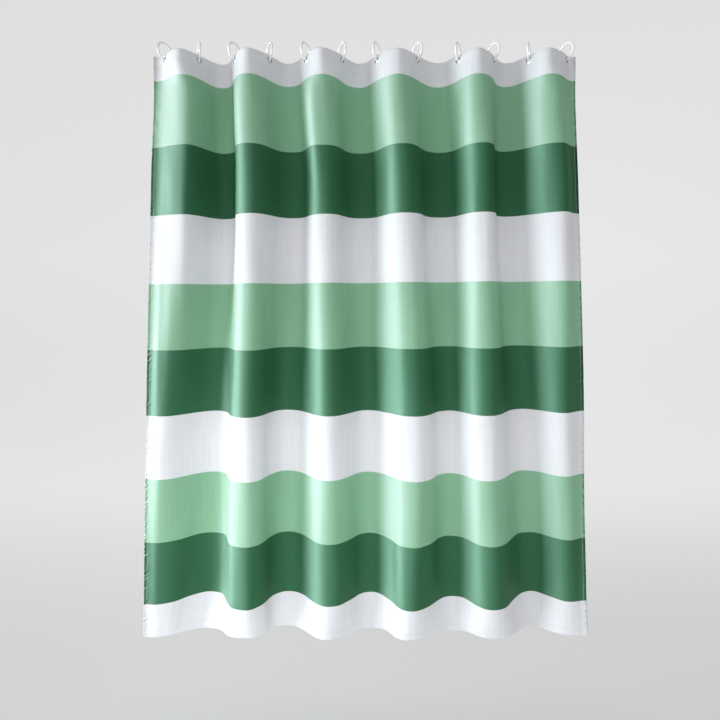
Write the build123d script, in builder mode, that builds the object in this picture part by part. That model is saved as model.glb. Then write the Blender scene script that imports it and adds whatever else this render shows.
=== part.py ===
"""Shower curtain: a striped polyester cloth hung by twelve snap rings through twelve metal eyelets.

Millimetres. +X runs along the shower rod, +Y is the tub side and +Z is up. The origin is on the
axis of the rod, in the middle of the hanging width. The front of the curtain faces -Y.
"""

from build123d import *
from math import cos, radians, sin
import os

# ---------------------------------------------------------------- rod and rings
rod_diameter = 25.4
ring_outer_diameter = 58.0
ring_wire_diameter = 7.0
ring_yaw = 27.0  # each ring turns this far towards the slope of the fold it carries
snap_angle = 205.0  # where the snap closure begins, counted from the front of the ring
snap_length = 16.0  # degrees that the two halves of the closure lap over each other
snap_gap = 0.6

# ---------------------------------------------------------------- cloth
cloth_height = 1800.0
layer = 0.4
heading_above_eyelet = 15.0
top_hem_height = 38.0
bottom_hem_height = 22.0
side_hem_width = 12.0

# Corners of the folds seen from above, left to right, before they are rounded: the turn of the
# free left margin, in turn a fold towards the front (-Y) and one towards the back (+Y), and the
# turn of the right margin. Hand-hung folds are never quite even. An eyelet sits where each slope
# passes under the rod, at y = 0.
left_end = (-667, 11)
fold_corners = (
    (-642, 20),
    (-570, -61),
    (-458, 69),
    (-356, -67),
    (-243, 61),
    (-120, -65),
    (-18, 67),
    (92, -65),
    (236, 63),
    (350, -65),
    (454, 63),
    (572, -63),
    (652, 22),
)
right_end = (682, 12)
fold_radius = 33.5
margin_radius = 20.0

# ---------------------------------------------------------------- eyelets
eyelet_hole_diameter = 12.0
eyelet_wall = 0.5
flange_diameter = 18.0
flange_crown = 0.8
mouth_radius = 0.8
washer_thickness = 0.5
cloth_clearance = 0.3
hang_clearance = 0.9  # from the top of the ring wire to the eyelet's hole

# ---------------------------------------------------------------- worked out
ring_radius = (ring_outer_diameter - ring_wire_diameter) / 2
ring_inner_radius = ring_radius - ring_wire_diameter / 2
ring_z = rod_diameter / 2 - ring_inner_radius
wire_bottom_z = ring_z - ring_radius
hole_radius = eyelet_hole_diameter / 2
eyelet_z = wire_bottom_z + ring_wire_diameter / 2 + hang_clearance - hole_radius
cloth_top = eyelet_z + heading_above_eyelet
cloth_bottom = cloth_top - cloth_height
barrel_radius = hole_radius + eyelet_wall
cloth_hole_radius = barrel_radius + cloth_clearance

# The heading is three layers thick, centred on the fold line: cloth, tape, turned-down hem.
front_face = -1.5 * layer
panel_back = front_face + layer
tape_back = panel_back + layer
hem_back = tape_back + layer

# Heights in an eyelet's own frame, counted out of the front of the cloth.
flange_radius = flange_diameter / 2
washer_front = -hem_back - cloth_clearance
washer_back = washer_front - washer_thickness

os.makedirs("parts", exist_ok=True)


def save(piece, name):
    piece.part.label = name
    export_step(piece.part, f"parts/{name}.step")


# ---------------------------------------------------------------- fold line
corners = [Vector(*point) for point in (left_end, *fold_corners, right_end)]
directions = [(after - before).normalized() for before, after in zip(corners, corners[1:])]
normals = [Vector(-along.Y, along.X) for along in directions]  # towards the back
turns = range(1, len(directions))  # the corners that are rounded
slopes = turns[:-1]  # the first and last runs are the margins, every other one a slope


def fold_line(offset):
    """The cloth's line seen from above, moved back by offset, as a build line with round corners."""
    points = [corners[0] + normals[0] * offset]
    radii = []
    for number in turns:
        before, after = normals[number - 1], normals[number]
        points.append(corners[number] + (before + after) * (offset / (1 + before.dot(after))))
        radius = margin_radius if number in (turns[0], turns[-1]) else fold_radius
        turns_to_back = directions[number - 1].cross(directions[number]).Z > 0
        radii.append(radius - offset if turns_to_back else radius + offset)
    points.append(corners[-1] + normals[-1] * offset)
    with BuildLine() as line:
        FilletPolyline(*points, radius=radii)
    return line.line


def layer_face(front, back, height):
    """The outline of one layer of cloth seen from above, between two offsets of the fold line."""
    front_edge = fold_line(front)
    back_edge = fold_line(back)
    with BuildSketch(Plane.XY.offset(height)) as outline:
        with BuildLine():
            add(front_edge)
            add(back_edge)
            Line(front_edge @ 0, back_edge @ 0)
            Line(front_edge @ 1, back_edge @ 1)
        make_face()
    return outline.sketch


def eyelet_plane(number):
    """A plane on a slope, straight under the rod's axis, its Z out of the front of the cloth."""
    before, along = corners[number], directions[number]
    return Plane(
        origin=(before.X - before.Y * along.X / along.Y, 0, eyelet_z),
        x_dir=directions[number],
        z_dir=normals[number] * -1,
    )


with BuildPart() as eyelet_holes:
    for number in slopes:
        with BuildSketch(eyelet_plane(number)):
            Circle(cloth_hole_radius)
        extrude(amount=4 * layer, both=True)


# ---------------------------------------------------------------- cloth pieces
panel_face = layer_face(front_face, panel_back, cloth_bottom)
with BuildPart() as curtain_panel:
    add(panel_face)
    extrude(amount=cloth_height, dir=(0, 0, 1))
    add(eyelet_holes.part, mode=Mode.SUBTRACT)
save(curtain_panel, "curtain_panel")

with BuildPart() as heading_tape:
    add(layer_face(panel_back, tape_back, cloth_top - top_hem_height))
    extrude(amount=top_hem_height, dir=(0, 0, 1))
    add(eyelet_holes.part, mode=Mode.SUBTRACT)
save(heading_tape, "heading_tape")

with BuildPart() as top_hem:
    add(layer_face(tape_back, hem_back, cloth_top - top_hem_height))
    extrude(amount=top_hem_height, dir=(0, 0, 1))
    add(eyelet_holes.part, mode=Mode.SUBTRACT)
save(top_hem, "top_hem")

with BuildPart() as bottom_hem:
    add(layer_face(panel_back, tape_back, cloth_bottom))
    extrude(amount=bottom_hem_height, dir=(0, 0, 1))
save(bottom_hem, "bottom_hem")


def side_hem(edge, along, grows):
    """A narrow turned edge behind the panel, between the top and bottom hems."""
    foot = Vector(edge.X, edge.Y, cloth_bottom + bottom_hem_height)
    with BuildPart() as hem:
        with BuildSketch(Plane(origin=foot, x_dir=along, z_dir=(0, 0, 1))):
            with Locations((0, panel_back)):
                Rectangle(side_hem_width, layer, align=(grows, Align.MIN))
        extrude(amount=cloth_height - top_hem_height - bottom_hem_height)
    return hem


save(side_hem(corners[0], directions[0], Align.MIN), "left_side_hem")
save(side_hem(corners[-1], directions[-1], Align.MAX), "right_side_hem")


# ---------------------------------------------------------------- rings
def snap_ring(x, yaw):
    """A one-piece plastic ring, cut through by a Z-shaped lap that snaps shut behind the rod."""
    back = Vector(sin(radians(yaw)), cos(radians(yaw)), 0)
    along = Vector(cos(radians(yaw)), -sin(radians(yaw)), 0)
    centre = Vector(x, 0, ring_z)
    face = Plane(origin=centre, x_dir=back, z_dir=along)
    reach = ring_wire_diameter / 2 + 1

    def polar(radius, angle):
        return Vector(radius * cos(radians(angle)), radius * sin(radians(angle)))

    start = snap_angle - 180
    end = start + snap_length
    with BuildPart() as ring:
        with BuildSketch(Plane(origin=centre, x_dir=back, z_dir=(0, 0, 1))):
            with Locations((ring_radius, 0)):
                Circle(ring_wire_diameter / 2)
        revolve(axis=Axis(centre, along), revolution_arc=360)
        with BuildSketch(face):
            with BuildLine():
                Line(polar(ring_radius + reach, -start), polar(ring_radius, -start))
                CenterArc((0, 0), ring_radius, -start, -snap_length)
                Line(polar(ring_radius, -end), polar(ring_radius - reach, -end))
            trace(line_width=snap_gap)
        extrude(amount=reach, both=True, mode=Mode.SUBTRACT)
    return ring


# ---------------------------------------------------------------- eyelets and washers
def section_of(plane):
    """The plane that an eyelet's outline is drawn in: X is the radius, Y is out of the cloth."""
    return Plane(origin=plane.origin, x_dir=plane.x_dir, z_dir=plane.y_dir * -1)


def eyelet_half(plane):
    """The front half: a crowned flange and a barrel whose end is rolled over the washer."""
    front = -front_face + cloth_clearance
    roll_end = washer_back - eyelet_wall
    with BuildPart() as half:
        with BuildSketch(section_of(plane)):
            with BuildLine():
                rim = Line((barrel_radius, front), (flange_radius, front))
                crown = ThreePointArc(
                    rim @ 1,
                    ((flange_radius + hole_radius + mouth_radius) / 2, front + flange_crown),
                    (hole_radius + mouth_radius / 2, front + eyelet_wall),
                )
                mouth = RadiusArc(crown @ 1, (hole_radius, front - mouth_radius / 2), mouth_radius)
                bore = Line(mouth @ 1, (hole_radius, washer_back + mouth_radius / 2))
                flare = RadiusArc(bore @ 1, (hole_radius + mouth_radius, roll_end), mouth_radius)
                lip = Line(flare @ 1, (barrel_radius + mouth_radius, roll_end))
                lip_edge = Line(lip @ 1, (barrel_radius + mouth_radius, washer_back))
                seat = Line(lip_edge @ 1, (barrel_radius, washer_back))
                Line(seat @ 1, rim @ 0)
            make_face()
        revolve(axis=Axis(plane.origin, plane.z_dir), revolution_arc=360)
    return half


def eyelet_washer(plane):
    """The back half: a flat washer with a bevelled rim, which the barrel is rolled over."""
    with BuildPart() as washer:
        with BuildSketch(section_of(plane)):
            with BuildLine():
                Polyline(
                    (barrel_radius, washer_back),
                    (barrel_radius, washer_front),
                    (flange_radius, washer_front),
                    (flange_radius, washer_front - washer_thickness / 2),
                    (flange_radius - washer_thickness, washer_back),
                    close=True,
                )
            make_face()
        revolve(axis=Axis(plane.origin, plane.z_dir), revolution_arc=360)
    return washer


for number in slopes:
    plane = eyelet_plane(number)
    yaw = ring_yaw if directions[number].Y < 0 else -ring_yaw
    suffix = f"{number:02d}"
    save(snap_ring(plane.origin.X, yaw), f"ring_{suffix}")
    save(eyelet_half(plane), f"eyelet_{suffix}")
    save(eyelet_washer(plane), f"eyelet_washer_{suffix}")

print("flat width of the cloth", round(panel_face.area / layer, 1))
print("eyelets at x =", [round(eyelet_plane(number).origin.X, 2) for number in slopes])
print("ring centre z", ring_z, "eyelet z", eyelet_z, "top edge z", cloth_top)
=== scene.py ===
"""Shower curtain: the looks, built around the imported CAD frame. Metres, +X along the rod, -Y front."""

from math import pi, radians

import bpy
import numpy as np
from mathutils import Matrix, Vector


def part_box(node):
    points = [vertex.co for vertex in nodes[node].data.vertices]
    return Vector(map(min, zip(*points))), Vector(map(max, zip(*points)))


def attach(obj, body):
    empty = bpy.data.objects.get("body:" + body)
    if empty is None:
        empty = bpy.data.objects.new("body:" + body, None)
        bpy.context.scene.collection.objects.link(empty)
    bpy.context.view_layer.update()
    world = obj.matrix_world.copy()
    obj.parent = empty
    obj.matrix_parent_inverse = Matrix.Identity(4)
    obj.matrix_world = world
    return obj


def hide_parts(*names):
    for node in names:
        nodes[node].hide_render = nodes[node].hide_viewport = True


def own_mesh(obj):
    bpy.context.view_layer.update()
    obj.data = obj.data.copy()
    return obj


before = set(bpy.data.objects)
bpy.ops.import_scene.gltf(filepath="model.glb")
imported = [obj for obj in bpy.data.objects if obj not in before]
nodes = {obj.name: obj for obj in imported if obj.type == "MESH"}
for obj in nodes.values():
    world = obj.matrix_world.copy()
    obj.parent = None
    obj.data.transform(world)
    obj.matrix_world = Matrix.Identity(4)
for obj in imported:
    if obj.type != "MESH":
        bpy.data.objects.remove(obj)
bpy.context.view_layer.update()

MM = 0.001

# ---------------------------------------------------------------- camera
CAMERA_DISTANCE = 1.45  # in front of the rod
CAMERA_HEIGHT = -0.781
CAMERA_SIDE = -0.014
PICTURE_WIDTH = 2.2507  # what the picture spans at the plane of the rod
LENS_SHIFT = -0.0854
SENSOR = 36.0

camera_data = bpy.data.cameras.new("camera")
camera_data.sensor_width = SENSOR
camera_data.lens = SENSOR * CAMERA_DISTANCE / PICTURE_WIDTH
camera_data.shift_y = LENS_SHIFT
camera = bpy.data.objects.new("camera", camera_data)
camera.location = (CAMERA_SIDE, -CAMERA_DISTANCE, CAMERA_HEIGHT)
camera.rotation_euler = (pi / 2, 0, 0)
bpy.context.scene.collection.objects.link(camera)
bpy.context.scene.camera = camera
bpy.context.scene.view_settings.view_transform = "Standard"

# ---------------------------------------------------------------- the cloth's sizes
panel_low, panel_high = (np.array(corner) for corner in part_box("curtain_panel"))
CLOTH_WIDTH = 1.80
CLOTH_HEIGHT = float(panel_high[2] - panel_low[2])
CLOTH_TOP = float(panel_high[2])
TOP_HEM = 38 * MM
BOTTOM_HEM = 22 * MM
SIDE_HEM = 12 * MM
PLY = 0.4 * MM
LAYER = 1.02 * PLY  # from the middle of one layer to the middle of the next
TAPE_MARGIN = 2 * MM  # from the top edge to the tape inside the hem
HOLE_RADIUS = 6.8 * MM

# Stripes, downward from the top edge. Each is a little less deep than the one above it, as in the
# photo.
TOP_BAND = 74 * MM
FIRST_STRIPE = 214 * MM
STRIPE_LOSS = 3.1 * MM
STRIPE_ORDER = ("white",) + ("light", "dark", "white") * 3
# The colour of each yarn, and the tint of the light that its satin surface gives back.
COLOURS = {
    "white": (0.75, 0.76, 0.79),
    "light": (0.235, 0.475, 0.295),
    "dark": (0.026, 0.122, 0.051),
}
GLOSS = {
    "white": (0.14, 0.18, 0.21),
    "light": (0.74, 0.62, 0.82),
    "dark": (0.46, 0.74, 0.62),
}


def stripe_start(k):
    """How far below the top edge band k begins."""
    if k == 0:
        return 0.0
    return TOP_BAND + FIRST_STRIPE * (k - 1) - STRIPE_LOSS * (k - 1) * (k - 2) / 2


# ---------------------------------------------------------------- eyelets, read from the frame
EYELETS = range(1, 13)


def node_points(name):
    mesh = nodes[name].data
    points = np.empty(len(mesh.vertices) * 3)
    mesh.vertices.foreach_get("co", points)
    return points.reshape(-1, 3)


def eyelet_seat(number):
    """An eyelet's centre, and the horizontal direction of the cloth there, left to right."""
    points = node_points(f"eyelet_{number:02d}")
    low, high = points.min(0), points.max(0)
    centre = (low + high) / 2
    spread, axes = np.linalg.eigh(np.cov((points - points.mean(0))[:, :2].T))
    along = axes[:, int(np.argmax(spread))]
    return np.array([centre[0], 0.0, centre[2]]), along * np.sign(along[0])


seats = [eyelet_seat(number) for number in EYELETS]
EYELET_DROP = CLOTH_TOP - float(seats[0][0][2])

# ---------------------------------------------------------------- fold plans, seen from above
# Where the folds stand at five heights. Each plan has its drop below the top edge in metres, the
# turns of the cloth in mm as (x, y), from the left edge to the right edge with front folds at
# negative y, and how upright each slope between two turns is, from 0, a plain wave, towards 1.
PLANS = (
    (
        0.12,
        (
            (-660, 4), (-540, -42), (-463, 54), (-354, -48), (-246, 42), (-133, -38), (-22, 56),
            (104, -42), (237, 54), (353, -45), (452, 47), (578, -42), (662, 7),
        ),
        (0.0, 0.2, 0.6, 0.3, 0.5, 0.4, 0.1, 0.1, 0.35, 0.5, 0.05, 0.1),
    ),
    (
        0.40,
        (
            (-663, -10), (-548, -42), (-454, 56), (-350, -51), (-228, 46), (-124, -30), (-8, 62),
            (121, -42), (243, 56), (366, -47), (450, 46), (602, -42), (667, -2),
        ),
        (0.0, 0.1, 0.65, 0.3, 0.5, 0.35, 0.3, 0.4, 0.4, 0.55, 0.0, 0.1),
    ),
    (
        1.20,
        (
            (-677, -14), (-630, -25), (-484, 45), (-361, -48), (-249, 53), (-104, -38), (9, 38),
            (155, -48), (270, 24), (374, -45), (512, 45), (624, -12), (694, 16),
        ),
        (0.0, 0.0, 0.5, 0.3, 0.15, 0.15, 0.15, 0.35, 0.2, 0.1, 0.0, 0.0),
    ),
    (
        1.68,
        (
            (-680, -20), (-646, -23), (-493, 44), (-365, -50), (-242, 47), (-107, -33), (22, 41),
            (144, -55), (279, 21), (390, -50), (535, 46), (634, -7), (693, -2),
        ),
        (0.0, 0.0, 0.5, 0.3, 0.05, 0.2, 0.25, 0.05, 0.25, 0.1, 0.0, 0.0),
    ),
    (
        1.80,
        (
            (-680, -26), (-650, -25), (-500, 16), (-367, -30), (-240, 27), (-118, -36), (26, 16),
            (138, -38), (279, 5), (404, -33), (533, 23), (625, -16), (691, -19),
        ),
        (0.0, 0.0, 0.6, 0.3, 0.05, 0.2, 0.5, 0.05, 0.25, 0.1, 0.0, 0.0),
    ),
)
SAMPLES = 60  # points along each slope while a plan is worked out


def unit(x, y):
    return np.array([x, y]) / np.hypot(x, y)


def wave_between(start, end, steep):
    """A slope between two turns: level at both ends, and steeper in the middle."""
    t = np.linspace(0, 1, SAMPLES, endpoint=False)[:, None]
    run = t + steep * np.sin(2 * pi * t) / (2 * pi)
    rise = (1 - np.cos(pi * t)) / 2
    start, end = np.array(start), np.array(end)
    return start + (end - start) * np.hstack([run, rise])


def even_out(points, shares):
    """Points of a line at the given shares of its length."""
    steps = np.hypot(*np.diff(points, axis=0).T)
    length = np.concatenate([[0], np.cumsum(steps)])
    share = length / length[-1]
    return np.stack([np.interp(shares, share, points[:, k]) for k in (0, 1)], axis=1)


def plan_line(turns, steep, shares):
    """A fold plan as points at the given shares of the cloth's width."""
    turns = np.array(turns, float) * MM
    runs = [wave_between(a, b, s) for a, b, s in zip(turns, turns[1:], steep)]
    return even_out(np.vstack(runs + [turns[-1:]]), shares)


def hermite(t, span, start, start_slope, end, end_slope):
    """The smooth curve between two values with given slopes, t of the way along the span."""
    return (
        (2 * t**3 - 3 * t**2 + 1) * start
        + (t**3 - 2 * t**2 + t) * span * start_slope
        + (-2 * t**3 + 3 * t**2) * end
        + (t**3 - t**2) * span * end_slope
    )


def bend_between(start, start_way, end, end_way):
    """A smooth run between two points, leaving and arriving in given directions."""
    t = np.linspace(0, 1, SAMPLES, endpoint=False)[:, None]
    return hermite(t, np.linalg.norm(end - start), start, start_way, end, end_way)


# The turns of the top edge, left to right, in mm: front folds and back folds in turn, between
# one eyelet and the next. The heading is three layers thick, so its front folds are creased.
HEADING_TURNS = (
    (-562, -44), (-458, 58), (-354, -47), (-247, 52), (-130, -49), (-14, 52),
    (106, -45), (240, 49), (349, -47), (460, 50), (563, -47),
)
HEADING_ENDS = ((-662, 6), (664, 9))
# The cloth's direction at the two ends, and on either side of a crease or a plain turn.
END_WAYS = (unit(1, 0.45), unit(1, -0.25))
CREASE_WAYS = (unit(1, -0.12), unit(1, 0.42))
TURN_WAYS = (unit(1, 0), unit(1, 0))
FINE = 4000  # steps along the heading while the eyelets are located on it


def heading_points():
    """The plan at the eyelets: through each eyelet's centre and along it, round the turns between."""
    centres = [centre[:2] for centre, _ in seats]
    ways = [along for _, along in seats]
    left, right = (np.array(end) * MM for end in HEADING_ENDS)
    runs = [bend_between(left, END_WAYS[0], centres[0], ways[0])]
    for k, corner in enumerate(HEADING_TURNS):
        turn = np.array(corner) * MM
        arriving, leaving = TURN_WAYS if k % 2 else CREASE_WAYS
        runs.append(bend_between(centres[k], ways[k], turn, arriving))
        runs.append(bend_between(turn, leaving, centres[k + 1], ways[k + 1]))
    runs.append(bend_between(centres[-1], ways[-1], right, END_WAYS[1]))
    return np.vstack(runs + [[right]])


def eyelet_places():
    """How far along the heading each eyelet sits, as a share of the cloth's width."""
    every = even_out(heading_points(), np.linspace(0, 1, FINE + 1))
    return [float(np.argmin(np.hypot(*(every - centre[:2]).T)) / FINE) for centre, _ in seats]


eyelet_shares = eyelet_places()

# The heading's plan holds from the top edge to a little below the eyelets.
HEADING_KEYS = (EYELET_DROP - 25 * MM, EYELET_DROP + 8 * MM)
LAST_SLOPE = 1.5  # how fast the plan changes at the bottom edge, over the mean of the last stretch


def cloth_points(shares, drops):
    """The cloth's middle surface on a grid: shares of the width by drops below the top edge."""
    heading = even_out(heading_points(), shares)
    keys = [*HEADING_KEYS] + [key for key, _, _ in PLANS]
    lines = [heading, heading] + [plan_line(turns, steep, shares) for _, turns, steep in PLANS]
    lines = np.array(lines)
    steps = np.diff(lines, axis=0) / np.diff(keys)[:, None, None]
    above, below = steps[:-1], steps[1:]
    # Where a point keeps moving the same way its slope is the harmonic mean, and elsewhere zero.
    slopes = np.zeros_like(lines)
    together = above * below > 1e-12
    slopes[1:-1][together] = (2 * above * below)[together] / (above + below)[together]
    slopes[1] = 0
    slopes[-1] = LAST_SLOPE * steps[-1]
    grid = np.empty((len(drops), len(shares), 3))
    for row, drop in enumerate(drops):
        k = int(np.clip(np.searchsorted(keys, drop) - 1, 0, len(keys) - 2))
        span = keys[k + 1] - keys[k]
        t = np.clip((drop - keys[k]) / span, 0, 1)
        grid[row, :, :2] = hermite(t, span, lines[k], slopes[k], lines[k + 1], slopes[k + 1])
        grid[row, :, 2] = CLOTH_TOP - drop
    return grid


def surface_normals(grid):
    """Unit normals of a grid, out of the front of the cloth."""
    across = np.gradient(grid, axis=1)
    down = np.gradient(grid, axis=0)
    normal = np.cross(down, across)
    return normal / np.linalg.norm(normal, axis=2, keepdims=True)


RIPPLE_COUNT = 26
RIPPLE_WIDTHS = (0.035, 0.16)
RIPPLE_HEIGHTS = (0.25, 1.1)
RIPPLE_LEAN = 0.06  # at most, sideways per metre down
RIPPLE_DEPTH = 0.30 * MM  # of a ripple of the next width
RIPPLE_WIDTH = 0.08
RIPPLE_FADE = 0.10  # how far below the heading they reach their depth
RIPPLE_TOP, RIPPLE_GROWTH = 0.6, 0.5  # their strength at the top edge, and what the height adds
# Drops below the top edge, in metres, between which the sides pucker.
PUCKERED = ((0.115, 0.29), (0.52, 0.62), (0.90, 1.12), (1.50, 1.73))
PUCKER_FADE = 0.03
PUCKER_CENTRE = 9 * MM  # from the edge
PUCKER_SPREAD = 16 * MM
PUCKER_DEPTH = 0.5 * MM
PUCKER_WAVES = ((0.036, 0.5), (0.058, -0.8), (0.085, 0.3))  # length and lean of each
RIGHT_PUCKERS = 0.45  # how strong they are on the right side, over the left
CREASE_DEPTH = 2.4 * MM
CREASE_WIDTH = 0.030
CREASE_ACROSS, CREASE_DOWN = 0.155, 1.30  # a point on the long crease
CREASE_LEAN = 0.11  # how far it moves to the left per metre down
CREASE_TOP, CREASE_FADE = 1.28, 0.15  # the drop at which it begins, and how slowly
CREASE_END = 0.1  # how far above the bottom edge it starts to weaken
CREASE_LEFT = 0.3  # its strength at the bottom edge
CORNER_DEPTH = 1.1 * MM
CORNER_WIDTH = 0.012
CORNER_CREASES = ((0.10, 0.35, 0.20), (0.16, -0.25, 0.16), (0.05, 0.2, 0.24))  # place, lean, length


def ripples(across, down):
    """Small unevenness of hung cloth, out of its front: long shallow ripples and puckered edges."""
    u, v = np.meshgrid(across, down)
    random = np.random.default_rng(7)
    total = np.zeros_like(u)
    for _ in range(RIPPLE_COUNT):
        width = random.uniform(*RIPPLE_WIDTHS)
        height = random.uniform(*RIPPLE_HEIGHTS)
        lean = random.uniform(-RIPPLE_LEAN, RIPPLE_LEAN)
        phase = random.uniform(0, 2 * pi)
        drift = random.uniform(0, 2 * pi)
        swell = 0.5 + 0.5 * np.sin(2 * pi * v / height + drift)
        wave = np.sin(2 * pi * (u + lean * v) / width + phase)
        total += RIPPLE_DEPTH * (width / RIPPLE_WIDTH) * swell * wave
    begins = np.clip((v - TOP_HEM) / RIPPLE_FADE, 0, 1)
    total *= begins * (RIPPLE_TOP + RIPPLE_GROWTH * v / CLOTH_HEIGHT)
    for edge, strength in ((u, 1.0), (CLOTH_WIDTH - u, RIGHT_PUCKERS)):
        near = np.exp(-(((edge - PUCKER_CENTRE) / PUCKER_SPREAD) ** 2))
        for low, high in PUCKERED:
            begins = np.clip((v - low) / PUCKER_FADE, 0, 1)
            zone = begins * np.clip((high - v) / PUCKER_FADE, 0, 1)
            for length, lean in PUCKER_WAVES:
                phase = random.uniform(0, 2 * pi)
                wave = np.sin(2 * pi * (v + lean * u) / length + phase)
                total += strength * PUCKER_DEPTH * zone * near * wave
    # One long soft crease leans across the left fold, low down.
    line = (u - CREASE_ACROSS + CREASE_LEAN * (v - CREASE_DOWN)) / CREASE_WIDTH
    begins = np.clip((v - CREASE_TOP) / CREASE_FADE, 0, 1)
    ends = np.clip((CLOTH_HEIGHT - v) / CREASE_END, CREASE_LEFT, 1)
    total += CREASE_DEPTH * np.exp(-(line**2)) * begins * ends
    # Shallow creases fan out of the bottom left corner.
    up = CLOTH_HEIGHT - v
    for place, lean, length in CORNER_CREASES:
        line = (u - place - lean * up) / CORNER_WIDTH
        total += CORNER_DEPTH * np.exp(-(line**2)) * np.clip(1 - up / length, 0, 1)
    return total


# ---------------------------------------------------------------- grid of the final cloth
EYELET_ZONE = 10 * MM  # the grid is finer this far on both sides of an eyelet
EYELET_STEP = 2.25 * MM
HEM_STEP = 2.5 * MM
HEM_ZONE = 3 * MM  # and this far past the edge of a hem
COARSE_COLUMNS = 10 * MM
COARSE_ROWS = 12 * MM


def divide(zones, end, coarse):
    """Positions from 0 to end: fine steps inside the zones (start, stop, step), coarse between."""
    stops, here = [0.0], 0.0
    for start, stop, step in list(zones) + [(end, end, coarse)]:
        for low, high, size in ((here, start, coarse), (start, stop, step)):
            if high - low > 1e-6:
                count = max(1, round((high - low) / size))
                stops += list(np.linspace(low, high, count + 1)[1:])
        here = stop
    return np.array(stops)


column_zones = [(0.0, SIDE_HEM + HEM_ZONE, HEM_STEP)]
column_zones += [
    (share * CLOTH_WIDTH - EYELET_ZONE, share * CLOTH_WIDTH + EYELET_ZONE, EYELET_STEP)
    for share in eyelet_shares
]
column_zones += [(CLOTH_WIDTH - SIDE_HEM - HEM_ZONE, CLOTH_WIDTH, HEM_STEP)]
row_zones = [
    (0.0, TOP_HEM + 4 * MM, EYELET_STEP),
    (CLOTH_HEIGHT - BOTTOM_HEM - HEM_ZONE, CLOTH_HEIGHT, HEM_STEP),
]
columns = divide(column_zones, CLOTH_WIDTH, COARSE_COLUMNS)
rows = divide(row_zones, CLOTH_HEIGHT, COARSE_ROWS)
surface = cloth_points(columns / CLOTH_WIDTH, rows)
surface += surface_normals(surface) * ripples(columns, rows)[..., None]

# ---------------------------------------------------------------- meshes from the grid
RIM_REACH = 1.28  # points this many radii from a hole's centre are drawn onto its rim


def cut_hole(grid, across, down, points, flat, quads, centre):
    """Leaves out the faces inside a round hole, and draws the points around it onto the rim."""
    height, width = grid.shape[:2]
    near = np.hypot(*(flat - centre).T)
    quads = quads[np.hypot(*(flat[quads].mean(1) - centre).T) > HOLE_RADIUS]
    used = np.zeros(len(points), bool)
    used[quads] = True
    ids = np.flatnonzero(used & (near < HOLE_RADIUS * RIM_REACH))
    scale = HOLE_RADIUS / np.maximum(near[ids], 1e-6)
    moved = (flat[ids] - centre) * scale[:, None] + centre
    shift = moved - flat[ids]
    r, c = ids // width, ids % width
    right, left = np.minimum(c + 1, width - 1), np.maximum(c - 1, 0)
    below, above = np.minimum(r + 1, height - 1), np.maximum(r - 1, 0)
    per_u = (grid[r, right] - grid[r, left]) / (across[right] - across[left])[:, None]
    per_v = (grid[below, c] - grid[above, c]) / (down[below] - down[above])[:, None]
    points[ids] += per_u * shift[:, :1] + per_v * shift[:, 1:]
    flat[ids] = moved
    return quads


def grid_object(name, grid, across, down, holes=()):
    """A thin closed sheet from a grid. across and down are the flat cloth's coordinates."""
    height, width = grid.shape[:2]
    points = grid.copy().reshape(-1, 3)
    flat = np.stack(np.meshgrid(across, down), axis=2).reshape(-1, 2)
    index = np.arange(height * width).reshape(height, width)
    quads = np.stack(
        [index[:-1, :-1], index[1:, :-1], index[1:, 1:], index[:-1, 1:]], axis=2
    ).reshape(-1, 4)
    for centre in holes:
        quads = cut_hole(grid, across, down, points, flat, quads, np.array(centre))
    used = np.zeros(len(points), bool)
    used[quads] = True
    renumber = np.cumsum(used) - 1
    points, flat, quads = points[used], flat[used], renumber[quads]
    mesh = bpy.data.meshes.new(name)
    mesh.from_pydata(points.tolist(), [], quads.tolist())
    mesh.update()
    layer = mesh.uv_layers.new(name="cloth")
    loops = np.empty(len(mesh.loops), int)
    mesh.loops.foreach_get("vertex_index", loops)
    layer.data.foreach_set("uv", flat[loops].astype(np.float32).ravel())
    mesh.polygons.foreach_set("use_smooth", np.ones(len(mesh.polygons), bool))
    sheet = bpy.data.objects.new(name, mesh)
    bpy.context.scene.collection.objects.link(sheet)
    # The ply gets its thickness here. The reverse takes the second material.
    solid = sheet.modifiers.new("ply", "SOLIDIFY")
    solid.thickness = PLY
    solid.offset = 0
    solid.use_even_offset = False
    solid.material_offset = 1
    mesh.materials.append(None)
    mesh.materials.append(None)
    apply_modifiers(sheet)
    return sheet


def apply_modifiers(piece):
    graph = bpy.context.evaluated_depsgraph_get()
    mesh = bpy.data.meshes.new_from_object(piece.evaluated_get(graph))
    piece.modifiers.clear()
    piece.data = mesh


eyelet_holes = [(share * CLOTH_WIDTH, EYELET_DROP) for share in eyelet_shares]
facing = surface_normals(surface)
panel = grid_object("cloth_panel", surface + facing * PLY, columns, rows, holes=eyelet_holes)


def band(name, row_range, column_range, depth, holes=()):
    """A layer behind part of the panel, depth behind the panel's middle."""
    r = np.flatnonzero((rows >= row_range[0] - 1e-6) & (rows <= row_range[1] + 1e-6))
    c = np.flatnonzero((columns >= column_range[0] - 1e-6) & (columns <= column_range[1] + 1e-6))
    part = np.ix_(r, c)
    grid = surface[part] + facing[part] * (PLY - depth)
    return grid_object(name, grid, columns[c], rows[r], holes=holes)


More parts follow.
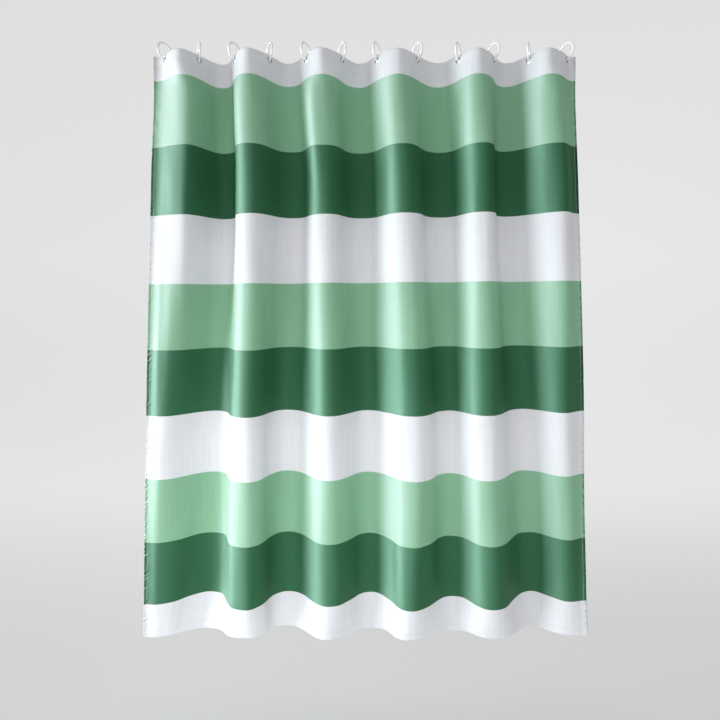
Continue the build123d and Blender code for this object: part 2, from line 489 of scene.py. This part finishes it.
whole_width = (0, CLOTH_WIDTH)
side_rows = (TOP_HEM, CLOTH_HEIGHT - BOTTOM_HEM)
bottom_rows = (CLOTH_HEIGHT - BOTTOM_HEM, CLOTH_HEIGHT)
right_columns = (CLOTH_WIDTH - SIDE_HEM, CLOTH_WIDTH)
tape = band("heading_tape_strip", (TAPE_MARGIN, TOP_HEM), whole_width, LAYER, eyelet_holes)
top_hem = band("top_hem_band", (0, TOP_HEM), whole_width, 2 * LAYER, eyelet_holes)
bottom_hem = band("bottom_hem_band", bottom_rows, whole_width, LAYER)
left_hem = band("left_hem_band", side_rows, (0, SIDE_HEM), LAYER)
right_hem = band("right_hem_band", side_rows, right_columns, LAYER)


# ---------------------------------------------------------------- materials
def new_material(name, **values):
    material = bpy.data.materials.new(name)
    material.use_nodes = True
    shader = material.node_tree.nodes["Principled BSDF"]
    for key, value in values.items():
        shader.inputs[key].default_value = value
    return material, Nodes(material.node_tree), shader


class Nodes:
    """Short names for building a material's node tree."""

    def __init__(self, tree):
        self.tree = tree

    def link(self, source, socket):
        self.tree.links.new(source, socket)

    def add(self, kind, **settings):
        node = self.tree.nodes.new("ShaderNode" + kind)
        for key, value in settings.items():
            setattr(node, key, value)
        return node

    def math(self, operation, *inputs, clamp=False):
        node = self.add("Math", operation=operation, use_clamp=clamp)
        for socket, value in zip(node.inputs, inputs):
            if isinstance(value, (int, float)):
                socket.default_value = value
            else:
                self.link(value, socket)
        return node.outputs[0]

    def chain(self, operation, values):
        """One operation over several values, such as their sum or the largest of them."""
        result = values[0]
        for value in values[1:]:
            result = self.math(operation, result, value)
        return result

    def plus(self, *values):
        return self.chain("ADD", values)

    def minus(self, first, second):
        return self.math("SUBTRACT", first, second)

    def times(self, *values):
        return self.chain("MULTIPLY", values)

    def fading(self, distance, reach):
        """1 at no distance, falling evenly to 0 at the reach."""
        return self.math("SUBTRACT", 1.0, self.math("DIVIDE", distance, reach), clamp=True)

    def cloth_place(self):
        """Where a point is on the flat cloth, in metres across and down from its top left corner."""
        place = self.add("UVMap", uv_map="cloth")
        split = self.add("SeparateXYZ")
        self.link(place.outputs["UV"], split.inputs[0])
        return split.outputs["X"], split.outputs["Y"]

    def stretched_noise(self, u, v, per_u, per_v, detail=2.0):
        """Noise over the cloth, with this many features per metre across and down."""
        place = self.add("CombineXYZ")
        self.link(self.times(u, per_u), place.inputs[0])
        self.link(self.times(v, per_v), place.inputs[1])
        noise = self.add("TexNoise", noise_dimensions="2D")
        noise.inputs["Scale"].default_value = 1.0
        noise.inputs["Detail"].default_value = detail
        self.link(place.outputs[0], noise.inputs["Vector"])
        return noise.outputs["Fac"]

    def weave(self, u, v, repeat):
        """Relief of a plain weave, its pattern repeating at this length both ways."""
        waves = [self.math("SINE", self.times(along, 2 * pi / repeat)) for along in (u, v)]
        return self.times(*waves)

    def seam(self, distance, along):
        """1 on each stitch of a seam, 0 beside it and in the needle holes between stitches."""
        on_line = self.math("LESS_THAN", distance, THREAD)
        on_stitch = self.math("FRACT", self.math("DIVIDE", along, STITCH_PITCH))
        return self.times(on_line, self.math("LESS_THAN", on_stitch, STITCH_SHARE))

    def stripes(self, share, colours):
        """The curtain's bands, from the share of the height below the top edge."""
        ramp = self.add("ValToRGB")
        ramp.color_ramp.interpolation = "CONSTANT"
        stops = ramp.color_ramp.elements
        for k, yarn in enumerate(STRIPE_ORDER):
            start = stripe_start(k) / CLOTH_HEIGHT
            stop = stops[k] if k < 2 else stops.new(start)
            stop.position = start
            stop.color = (*colours[yarn], 1)
        self.link(share, ramp.inputs["Fac"])
        return ramp.outputs["Color"]

    def scaled(self, colour, factor):
        scale = self.add("VectorMath", operation="SCALE")
        self.link(colour, scale.inputs[0])
        self.link(factor, scale.inputs["Scale"])
        return scale.outputs[0]

    def mixed(self, share, first, second):
        """From the first colour to the second, which is a plain colour or another node's output."""
        mix = self.add("MixRGB")
        self.link(share, mix.inputs["Fac"])
        self.link(first, mix.inputs["Color1"])
        if isinstance(second, tuple):
            mix.inputs["Color2"].default_value = second
        else:
            self.link(second, mix.inputs["Color2"])
        return mix.outputs["Color"]

    def relief(self, height, distance, strength=1.0, over=None):
        """A bump of this height, laid over the normal of another one."""
        bump = self.add("Bump")
        bump.inputs["Strength"].default_value = strength
        bump.inputs["Distance"].default_value = distance
        self.link(height, bump.inputs["Height"])
        if over is not None:
            self.link(over, bump.inputs["Normal"])
        return bump.outputs["Normal"]


# Lockstitch along the top edge, the top hem, the bottom hem and both sides.
STITCH_PITCH = 3.2 * MM
STITCH_SHARE = 0.78  # of the pitch, the rest being the needle hole
THREAD = 0.45 * MM  # half the width of a stitch
THREAD_WHITE = (0.78, 0.79, 0.80, 1)
SEWN_ACROSS = (8 * MM, TOP_HEM - 3 * MM, CLOTH_HEIGHT - BOTTOM_HEM + 3 * MM)
SEWN_DOWN = (SIDE_HEM - 2 * MM, CLOTH_WIDTH - SIDE_HEM + 2 * MM)
SEAM_DIP = 2.5 * MM  # how far from a seam the cloth is drawn down
# Painted shade along both side edges, as a dark band this wide.
EDGE_SHADE_WIDTH = 8 * MM
EDGE_SHADE_WANDER = 16 * MM  # how far the painted edge shade's inner edge wanders
EDGE_SHADE_GAMMA = 1.9  # how much darker the painted edge shade is, as a gamma
PUCKER_REACH = 26 * MM
PUCKER_RELIEF = 10 * MM
PRINT_RISE = 11 * MM  # how much higher the print sits at the right edge than at the left, at most
PRINT_SPAN = 0.86  # the share of the height over which that rise swells and fades
FADED = 0.8  # what the colours fade towards on the reverse
# Streaks of the yarns, as features per metre across and down, and their shares of the tone.
WARP, WARP_TONE = (450, 6), 0.20
WEFT, WEFT_TONE = (9, 700), 0.09
CLOUDS, CLOUD_TONE = (9, 5), 0.08
PLAIN_TONE = 0.815  # the tone where all three are nil
GATHERS, GATHER_SLANT = (14, 110), 0.6
SEAM_PAINTED_SHADE = 0.07  # painted shade: how much darker the cloth is painted in the dip beside a seam
THREAD_SHOWS = 0.6  # how much of the thread's own colour is seen
SMOOTHEST, WARP_ROUGHNESS = 0.54, 0.16
# Heights in the fine relief, as shares of its depth.
WEAVE_HEIGHT, WARP_HEIGHT, WEFT_HEIGHT, STITCH_HEIGHT, SEAM_DEPTH = 0.05, 0.35, 0.25, 0.9, 0.8
FINE_RELIEF, FINE_STRENGTH = 0.25 * MM, 0.5
PUCKER_STRENGTH = 0.7
CLOTH_REPEAT = 1.1 * MM
TAPE_REPEAT = 1.6 * MM
TAPE_RELIEF = 0.2 * MM
MARKS_FROM, MARKS_TO = 0.3, 0.62  # where a hard surface's marks are fully worn and fully clean
MARKS_ROUGHNESS = 0.2  # how far they spread its roughness
MARKS_STRENGTH = 0.35


def cloth_material(name, paler=0.0):
    """Printed satin-weave polyester. paler is how far the colours fade on the reverse."""
    material, n, shader = new_material(name, **{"Specular IOR Level": 0.5})
    u, v = n.cloth_place()

    # The print sits a little askew: its right side rises around the middle of the height.
    share = n.math("DIVIDE", v, CLOTH_HEIGHT)
    hump = n.math("MAXIMUM", n.math("SINE", n.times(share, pi / PRINT_SPAN)), 0.0)
    off_centre = n.minus(u, CLOTH_WIDTH / 2)
    rise = n.times(hump, n.times(off_centre, PRINT_RISE / CLOTH_WIDTH))
    down = n.math("DIVIDE", n.plus(v, rise), CLOTH_HEIGHT)
    yarns = {yarn: [c + (FADED - c) * paler for c in COLOURS[yarn]] for yarn in COLOURS}
    dyed = n.stripes(down, yarns)

    # Yarns differ a little from each other, so fine streaks run down and across the cloth.
    warp = n.stretched_noise(u, v, *WARP)
    weft = n.stretched_noise(u, v, *WEFT)
    cloudy = n.stretched_noise(u, v, *CLOUDS, detail=4.0)
    streaks = n.plus(n.times(warp, WARP_TONE), n.times(weft, WEFT_TONE))
    tone = n.plus(streaks, n.times(cloudy, CLOUD_TONE), PLAIN_TONE)

    # Seams, and the cloth drawn down beside them, with painted shade in that dip.
    seams = [(v, at, u) for at in SEWN_ACROSS] + [(u, at, v) for at in SEWN_DOWN]
    seams = [(n.math("ABSOLUTE", n.minus(position, at)), along) for position, at, along in seams]
    stitch = n.chain("MAXIMUM", [n.seam(distance, along) for distance, along in seams])
    pulled = n.chain("MAXIMUM", [n.fading(distance, SEAM_DIP) for distance, _ in seams])
    # Painted shade: the colour is darkened in the dip beside each seam.
    colour = n.scaled(dyed, n.minus(tone, n.times(pulled, SEAM_PAINTED_SHADE)))

    # Painted shade along both sides: a ragged band is darkened, most of all where it is dyed.
    edge = n.math("MINIMUM", u, n.minus(CLOTH_WIDTH, u))
    edge_shade = n.add("Gamma")
    edge_shade.inputs["Gamma"].default_value = EDGE_SHADE_GAMMA
    n.link(colour, edge_shade.inputs["Color"])
    slant = n.plus(v, n.times(edge, GATHER_SLANT))
    gathers = n.stretched_noise(u, slant, *GATHERS, detail=1.0)
    shade_distance = n.plus(edge, n.times(n.minus(gathers, 0.5), EDGE_SHADE_WANDER))
    colour = n.mixed(n.fading(shade_distance, EDGE_SHADE_WIDTH), colour, edge_shade.outputs["Color"])
    colour = n.mixed(n.times(stitch, THREAD_SHOWS), colour, THREAD_WHITE)
    n.link(colour, shader.inputs["Base Color"])
    n.link(n.plus(n.times(warp, WARP_ROUGHNESS), SMOOTHEST), shader.inputs["Roughness"])
    n.link(n.stripes(down, GLOSS), shader.inputs["Specular Tint"])

    # Warp and weft threads cross, with slubs in the yarn and the stitching on top.
    sewn = n.minus(n.times(stitch, STITCH_HEIGHT), n.times(pulled, SEAM_DEPTH))
    woven = n.times(n.weave(u, v, CLOTH_REPEAT), WEAVE_HEIGHT)
    height = n.plus(woven, n.times(warp, WARP_HEIGHT), n.times(weft, WEFT_HEIGHT), sewn)
    fine = n.relief(height, FINE_RELIEF, FINE_STRENGTH)

    # Small slanting puckers run in from the side seams.
    near = n.fading(edge, PUCKER_REACH)
    puckers = n.times(near, near, gathers)
    normal = n.relief(puckers, PUCKER_RELIEF, PUCKER_STRENGTH, over=fine)
    n.link(normal, shader.inputs["Normal"])
    return material


def tape_material():
    """The stiff white tape inside the heading: a coarser plain weave."""
    material, n, shader = new_material(
        "heading_tape_weave", **{"Base Color": (0.78, 0.78, 0.76, 1), "Roughness": 0.75}
    )
    u, v = n.cloth_place()
    n.link(n.relief(n.weave(u, v, TAPE_REPEAT), TAPE_RELIEF), shader.inputs["Normal"])
    return material


def hard_material(name, colour, metallic, roughness, wear, grain, depth):
    """Moulded or plated surface: tone and gloss vary, and fine marks stand in relief."""
    material, n, shader = new_material(name, **{"Metallic": metallic})
    place = n.add("TexCoord")
    noise = n.add("TexNoise")
    noise.inputs["Scale"].default_value = grain
    noise.inputs["Detail"].default_value = 5.0
    n.link(place.outputs["Object"], noise.inputs["Vector"])
    marks = noise.outputs["Fac"]
    ramp = n.add("ValToRGB")
    worn, clean = ramp.color_ramp.elements
    worn.color = (*(c * (1 - wear) for c in colour), 1)
    worn.position = MARKS_FROM
    clean.color = (*colour, 1)
    clean.position = MARKS_TO
    n.link(marks, ramp.inputs["Fac"])
    n.link(ramp.outputs["Color"], shader.inputs["Base Color"])
    rough = n.plus(n.times(marks, MARKS_ROUGHNESS), roughness - MARKS_ROUGHNESS / 2)
    n.link(rough, shader.inputs["Roughness"])
    n.link(n.relief(marks, depth, MARKS_STRENGTH), shader.inputs["Normal"])
    return material


striped = cloth_material("striped_satin")
reverse = cloth_material("striped_satin_reverse", paler=0.14)
white_cloth = tape_material()
ring_plastic = hard_material("ring_plastic", (0.95, 0.95, 0.94), 0.0, 0.30, 0.03, 300, 0.05 * MM)
eyelet_metal = hard_material("eyelet_nickel", (0.42, 0.41, 0.41), 1.0, 0.26, 0.30, 500, 0.04 * MM)
washer_metal = hard_material("washer_nickel", (0.50, 0.49, 0.48), 1.0, 0.34, 0.25, 400, 0.04 * MM)
HARD_MATERIALS = {"ring": ring_plastic, "eyelet": eyelet_metal, "eyelet_washer": washer_metal}


def dress(piece, *materials):
    """Gives a piece its materials: the first for its front, the second for its reverse."""
    sides = np.zeros(len(piece.data.polygons), np.int32)
    piece.data.polygons.foreach_get("material_index", sides)
    piece.data.materials.clear()
    for material in materials:
        piece.data.materials.append(material)
    piece.data.polygons.foreach_set("material_index", np.minimum(sides, len(materials) - 1))


for piece in (panel, left_hem, right_hem, bottom_hem, top_hem):
    dress(piece, striped, reverse)
dress(tape, white_cloth)
for number in EYELETS:
    for kind, material in HARD_MATERIALS.items():
        for slot in nodes[f"{kind}_{number:02d}"].material_slots:
            slot.material = material

# ---------------------------------------------------------------- riding and gathering, in place of the frame's pieces
replaced = {
    panel: ("curtain_panel", "striped_cloth"),
    tape: ("heading_tape", "heading_tape"),
    top_hem: ("top_hem", "white_cloth"),
    bottom_hem: ("bottom_hem", "white_cloth"),
    left_hem: ("left_side_hem", "striped_cloth"),
    right_hem: ("right_side_hem", "striped_cloth"),
}
for piece, (node, slot) in replaced.items():
    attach(piece, "cloth")
    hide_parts(node)
    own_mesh(piece)

# ---------------------------------------------------------------- floor, backdrop and light
FLOOR_Z = -1.97
FLOOR_END = 1.8  # how far behind the rod the floor starts to bend up into the wall
BEND = 1.6  # radius of that bend
BEND_STEPS = 16
REACH = 30.0  # of the backdrop, to both sides and towards the front
WALL_TOP = 16.0
GLOW = {"From Min": -0.3, "From Max": 1.6, "To Min": 0.33, "To Max": 0.53}


def studio():
    mesh = bpy.data.meshes.new("backdrop")
    section = [(-REACH, FLOOR_Z), (FLOOR_END, FLOOR_Z)]
    for k in range(1, BEND_STEPS + 1):
        angle = k / BEND_STEPS * pi / 2
        section.append((FLOOR_END + BEND * np.sin(angle), FLOOR_Z + BEND * (1 - np.cos(angle))))
    section.append((FLOOR_END + BEND, WALL_TOP))
    points = [(x, y, z) for x in (-REACH, REACH) for y, z in section]
    count = len(section)
    faces = [(k, k + 1, count + k + 1, count + k) for k in range(count - 1)]
    mesh.from_pydata(points, [], faces)
    mesh.polygons.foreach_set("use_smooth", np.ones(len(mesh.polygons), bool))
    backdrop = bpy.data.objects.new("backdrop", mesh)
    bpy.context.scene.collection.objects.link(backdrop)
    paper, n, shader = new_material(
        "backdrop_paper",
        **{
            "Base Color": (0.45, 0.45, 0.45, 1),
            "Roughness": 0.9,
            "Specular IOR Level": 0.0,
            "Emission Color": (1, 1, 1, 1),
        },
    )
    # The paper glows a little, evenly lit like a studio wall, and less on the floor in front.
    split = n.add("SeparateXYZ")
    n.link(n.add("NewGeometry").outputs["Position"], split.inputs[0])
    glow = n.add("MapRange", interpolation_type="SMOOTHSTEP")
    for socket, value in GLOW.items():
        glow.inputs[socket].default_value = value
    n.link(split.outputs["Y"], glow.inputs["Value"])
    n.link(glow.outputs["Result"], shader.inputs["Emission Strength"])
    dress(backdrop, paper)


def lamp(name, place, target, size, power, colour=(1, 1, 1), spread=180, gloss_only=False):
    """A rectangular lamp aimed at a point. gloss_only lets it light reflections and nothing else."""
    data = bpy.data.lights.new(name, "AREA")
    data.shape = "RECTANGLE"
    data.size, data.size_y = size
    data.energy = power
    data.color = colour
    data.spread = radians(spread)
    light = bpy.data.objects.new(name, data)
    light.location = place
    light.visible_camera = False
    light.visible_diffuse = not gloss_only
    light.rotation_euler = (Vector(target) - Vector(place)).to_track_quat("-Z", "Y").to_euler()
    bpy.context.scene.collection.objects.link(light)


COOL = (0.92, 1.0, 1.0)
COOLER = (0.90, 1.0, 1.0)
studio()
lamp("key", (-6.1, -1.9, -1.5), (0, 0, -1.5), (2.2, 2.6), 34, COOL, spread=50)
lamp("gleam_low", (-6.8, -2.2, -1.3), (0, 0, -2.9), (2.6, 1.2), 650, COOLER, 35, gloss_only=True)
lamp("gleam_high", (-6.8, -2.2, 0.4), (0, 0, 0.85), (2.6, 1.6), 240, COOLER, 35, gloss_only=True)
lamp("front_left", (-2.3, -2.3, -0.9), (0, 0, -1.2), (1.2, 2.2), 4.5, spread=100)
lamp("fill", (0.3, -3.6, -1.4), (0, 0, -1.6), (1.4, 1.0), 8.5, spread=80)
lamp("low_left", (-1.4, -2.7, -1.4), (-0.54, 0, -1.62), (0.5, 0.5), 0.9, (0.95, 1.0, 1.0), 34)
world = bpy.data.worlds.new("studio")
world.use_nodes = True
background = world.node_tree.nodes["Background"]
background.inputs["Color"].default_value = (0.82, 0.80, 0.81, 1)
background.inputs["Strength"].default_value = 0.46
world.cycles_visibility.glossy = False
bpy.context.scene.world = world
